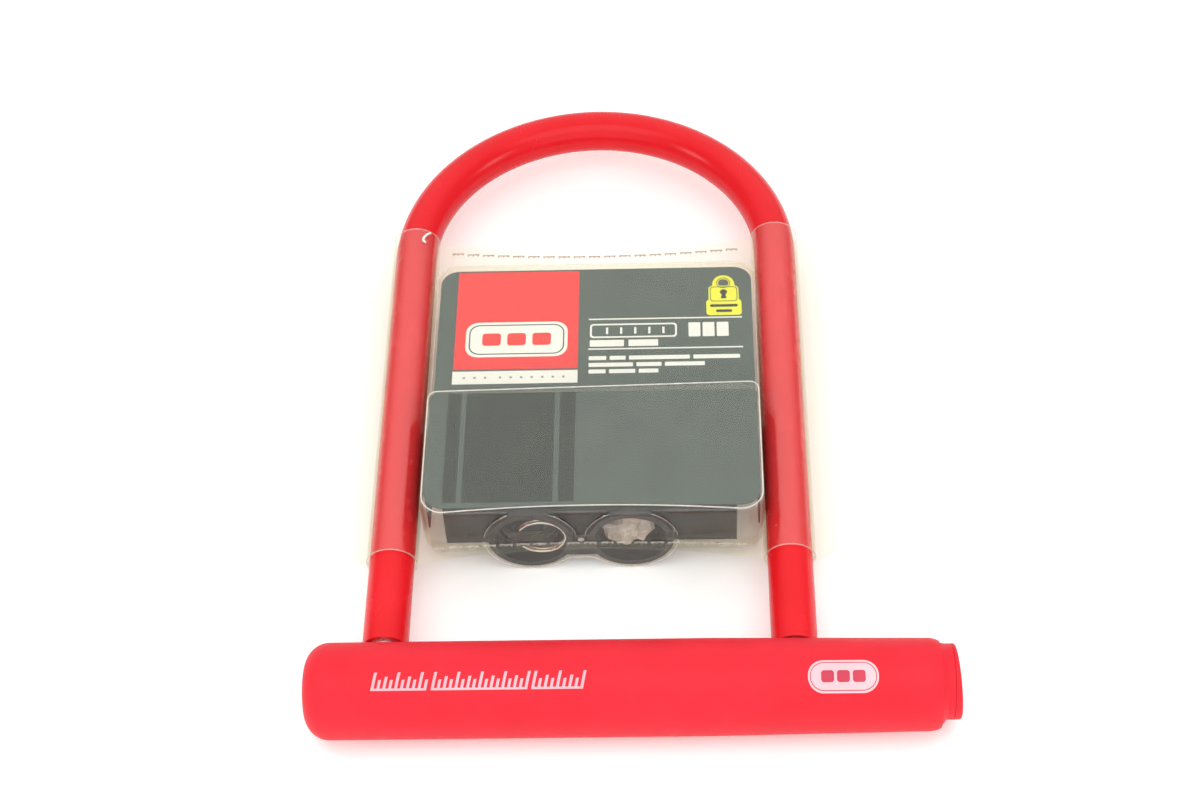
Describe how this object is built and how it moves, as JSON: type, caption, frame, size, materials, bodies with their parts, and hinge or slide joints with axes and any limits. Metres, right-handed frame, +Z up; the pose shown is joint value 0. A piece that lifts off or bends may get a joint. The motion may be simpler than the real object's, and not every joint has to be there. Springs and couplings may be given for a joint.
{
  "type": "bicycle u-lock",
  "caption": "Rigid bicycle U-lock with coated shackle and keyed crossbar, in its clear retail pack with card, frame bracket and keys.",
  "frame": {"origin": "on the crossbar's axis, midway between the two shackle legs", "axes": "+X along the crossbar towards its keyed end, +Y from the crossbar to the shackle's bend, +Z up from the surface the lock lies flat on"},
  "size_m": [0.2079, 0.275, 0.031],
  "materials": {
    "hardened_steel": "ground, zinc-bright",
    "red_vinyl": "soft-gloss dipped vinyl, faint orange peel",
    "red_plastic": "satin moulded plastic, fine spark texture",
    "cast_zinc": "as cast, dull",
    "spring_steel": "oiled",
    "nickel_plate": "nickel plated",
    "brass": "machined",
    "white_print": "printed film",
    "clear_sheet": "clear thermoformed sheet, high gloss",
    "printed_card": "coated board, printed",
    "black_nylon": "fine spark texture",
    "black_rubber": "matt"
  },
  "bodies": {
    "crossbar": {"crossbar_tube": "hardened_steel", "crossbar_sleeve": "red_plastic", "left_end_plug": "hardened_steel", "left_leg_guide": "cast_zinc", "right_leg_guide": "cast_zinc", "guide_pins": "spring_steel", "cylinder_housing": "cast_zinc", "cylinder_pin": "spring_steel", "end_collar": "red_plastic", "collar_screws": "nickel_plate", "cover_screw": "nickel_plate", "side_label": "white_print"},
    "cylinder": {"cylinder_plug": "brass", "wafers": "brass", "wafer_springs": "spring_steel", "crank_cam": "hardened_steel"},
    "bolt": {"lock_bar": "hardened_steel"},
    "cover": {"dust_cover": "red_plastic"},
    "shackle": {"shackle_bar": "hardened_steel", "shackle_coating": "red_vinyl"},
    "pack": {"pack_front_shell": "clear_sheet", "pack_back_shell": "clear_sheet", "insert_card": "printed_card", "bracket_body": "black_nylon", "bracket_jaw": "black_nylon", "jaw_pin": "spring_steel", "jaw_bolts": "nickel_plate", "jaw_nuts": "nickel_plate", "tube_pad": "black_rubber", "key_blade_1": "nickel_plate", "key_blade_2": "nickel_plate", "key_head_1": "black_nylon", "key_head_2": "black_nylon", "split_ring": "nickel_plate"}
  },
  "joints": [
    {"name": "shackle_pull", "type": "slide", "parent": "crossbar", "child": "shackle", "axis": [0, 1, 0], "range_m": [0, 0.06]},
    {"name": "key_turn", "type": "hinge", "parent": "crossbar", "child": "cylinder", "pos_m": [0.095, 0, 0], "axis": [1, 0, 0], "range_deg": [0, 90]},
    {"name": "bolt_slide", "type": "slide", "parent": "crossbar", "child": "bolt", "axis": [0, 0, 1], "range_m": [0, 0.0036]},
    {"name": "cover_swing", "type": "hinge", "parent": "crossbar", "child": "cover", "pos_m": [0.116, 0.0073, 0.0061], "axis": [1, 0, 0], "range_deg": [0, 135]},
    {"name": "pack_slide", "type": "slide", "parent": "shackle", "child": "pack", "axis": [0, -1, 0], "range_m": [0, 0.03]}
  ],
  "couplings": [
    {"joint": "key_turn", "follows": "bolt_slide", "rad_per_m": 436.33}
  ]
}
